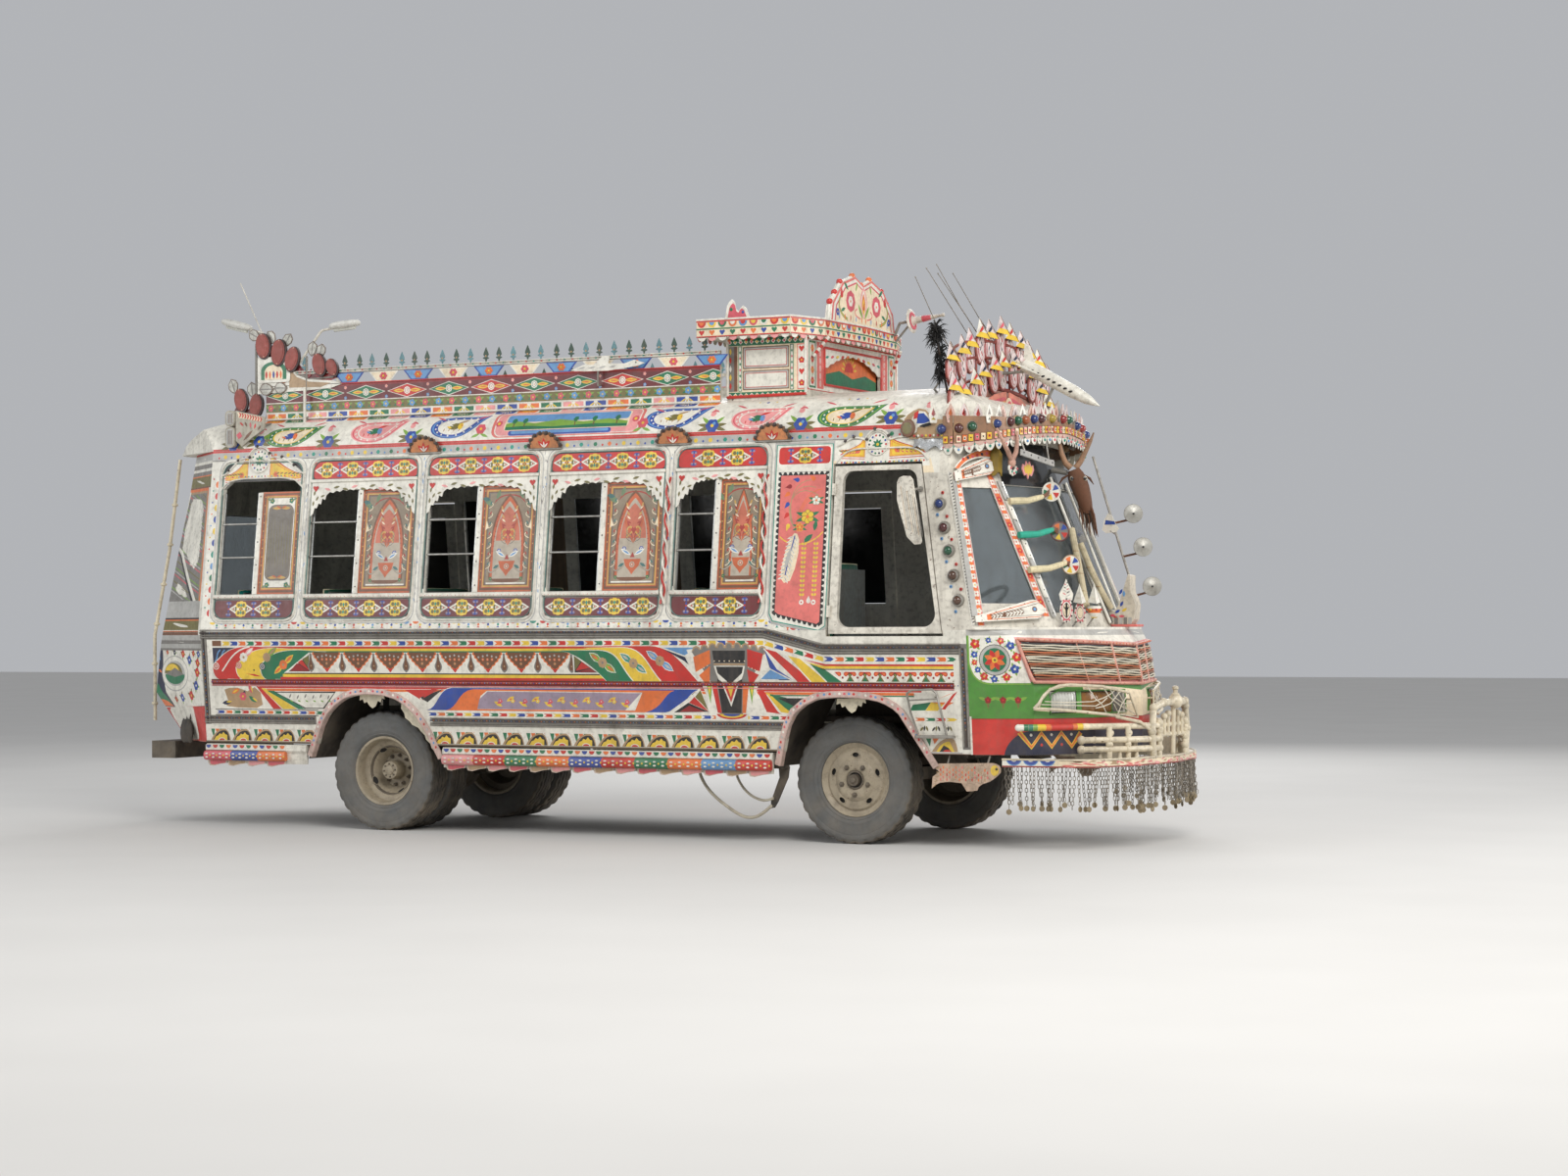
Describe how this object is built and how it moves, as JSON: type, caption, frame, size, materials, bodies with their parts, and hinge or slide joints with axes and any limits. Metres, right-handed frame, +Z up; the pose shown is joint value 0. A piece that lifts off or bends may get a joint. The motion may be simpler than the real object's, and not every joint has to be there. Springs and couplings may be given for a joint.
{
  "type": "decorated passenger minibus",
  "caption": "Hand-painted passenger minibus with raked nose, bull bar, shuttered side windows, roof rack, roof turret and front crown; wheels roll, front wheels steer, doors swing.",
  "frame": {"origin": "on the ground below the centre of the whole vehicle", "axes": "+X forward along the vehicle, +Y to its left, +Z up"},
  "size_m": [7.3995, 2.3, 3.7308],
  "materials": {
    "painted_body": "hand-painted gloss enamel over steel, dusty",
    "painted_roof": "hand-painted enamel, chalked and stained",
    "painted_red": "painted ornament board",
    "white_enamel": "white enamel with rust at the edges",
    "cream_tube": "cream brushed-on paint, dirty",
    "chassis_black": "black chassis paint with road dust",
    "cast_metal": "oily cast iron",
    "rim_paint": "beige wheel paint with rust",
    "tyre_rubber": "worn, dusty",
    "black_rubber": "matt",
    "pane": "dusty clear glass",
    "lamp_glass": "amber and clear lamp glass",
    "seat_vinyl": "worn vinyl",
    "floor_plate": "scuffed steel plate",
    "dark_plastic": "dusty moulded plastic",
    "spring_steel": "rusty spring steel"
  },
  "bodies": {
    "bus_body": {"bull_bar": "cream_tube", "castle_canopy": "white_enamel", "dashboard": "dark_plastic", "engine_block": "cast_metal", "engine_cover": "floor_plate", "floor_deck": "floor_plate", "frame_cross_members": "chassis_black", "frame_rails": "chassis_black", "front_axle_beam": "cast_metal", "front_bumper": "cream_tube", "front_crown": "white_enamel", "front_visor": "white_enamel", "grille_panel": "painted_body", "hanging_rope_long": "black_rubber", "hanging_rope_short": "black_rubber", "headlamps": "lamp_glass", "leaf_springs": "spring_steel", "left_cab_window_frame": "white_enamel", "lower_side_panels": "painted_body", "mudflap_strap": "black_rubber", "nose_shell": "painted_body", "rear_axle_and_shaft": "cast_metal", "rear_bumper": "chassis_black", "rear_corner_panels": "painted_body", "rear_ladder": "cream_tube", "rear_roof_wings": "painted_red", "rear_wall": "painted_body", "roof_castle": "white_enamel", "roof_lamps_and_aerials": "white_enamel", "roof_rack": "painted_roof", "roof_shell": "painted_roof", "rope_brackets": "chassis_black", "seat_cushions": "seat_vinyl", "seat_frames": "chassis_black", "skirt_rails": "painted_body", "steering_wheel": "dark_plastic", "wheel_arch_liners": "chassis_black", "window_bars": "white_enamel", "window_glass": "pane", "window_posts": "painted_body", "window_shutters": "painted_body", "window_sill_and_header_panels": "painted_body", "windscreen_frame": "painted_body"},
    "front_right_knuckle": {"front_right_knuckle": "cast_metal"},
    "front_left_knuckle": {"front_left_knuckle": "cast_metal"},
    "front_right_wheel": {"front_right_wheel": "rim_paint", "front_right_tyre": "tyre_rubber"},
    "front_left_wheel": {"front_left_wheel": "rim_paint", "front_left_tyre": "tyre_rubber"},
    "rear_right_wheels": {"rear_right_wheels": "rim_paint", "rear_right_tyres": "tyre_rubber"},
    "rear_left_wheels": {"rear_left_wheels": "rim_paint", "rear_left_tyres": "tyre_rubber"},
    "driver_door": {"driver_door": "white_enamel", "driver_mirror": "white_enamel"},
    "front_passenger_door": {"front_passenger_door": "painted_body"},
    "rear_passenger_door": {"rear_passenger_door": "painted_body"}
  },
  "joints": [
    {"name": "steer_right", "type": "hinge", "parent": "bus_body", "child": "front_right_knuckle", "pos_m": [1.859, -0.635, 0.395], "axis": [0, 0, 1], "range_deg": [-28, 28]},
    {"name": "front_right_wheel_spin", "type": "hinge", "parent": "front_right_knuckle", "child": "front_right_wheel", "pos_m": [1.859, -0.74, 0.395], "axis": [0, 1, 0], "continuous": true},
    {"name": "rear_right_wheel_spin", "type": "hinge", "parent": "bus_body", "child": "rear_right_wheels", "pos_m": [-1.55, -0.7, 0.395], "axis": [0, 1, 0], "continuous": true},
    {"name": "steer_left", "type": "hinge", "parent": "bus_body", "child": "front_left_knuckle", "pos_m": [1.859, 0.635, 0.395], "axis": [0, 0, 1], "range_deg": [-28, 28]},
    {"name": "front_left_wheel_spin", "type": "hinge", "parent": "front_left_knuckle", "child": "front_left_wheel", "pos_m": [1.859, 0.74, 0.395], "axis": [0, 1, 0], "continuous": true},
    {"name": "rear_left_wheel_spin", "type": "hinge", "parent": "bus_body", "child": "rear_left_wheels", "pos_m": [-1.55, 0.7, 0.395], "axis": [0, 1, 0], "continuous": true},
    {"name": "driver_door_hinge", "type": "hinge", "parent": "bus_body", "child": "driver_door", "pos_m": [1.791, -1.0224, 1.8], "axis": [0, 0.1191, 0.9929], "range_deg": [-80, 0]},
    {"name": "front_passenger_door_hinge", "type": "hinge", "parent": "bus_body", "child": "front_passenger_door", "pos_m": [1.334, 1.085, 1.4], "axis": [0, 0, 1], "range_deg": [-85, 0]},
    {"name": "rear_passenger_door_hinge", "type": "hinge", "parent": "bus_body", "child": "rear_passenger_door", "pos_m": [-2.163, 1.085, 1.4], "axis": [0, 0, 1], "range_deg": [-85, 0]}
  ],
  "couplings": [
    {"joint": "steer_left", "follows": "steer_right", "ratio": 1}
  ]
}
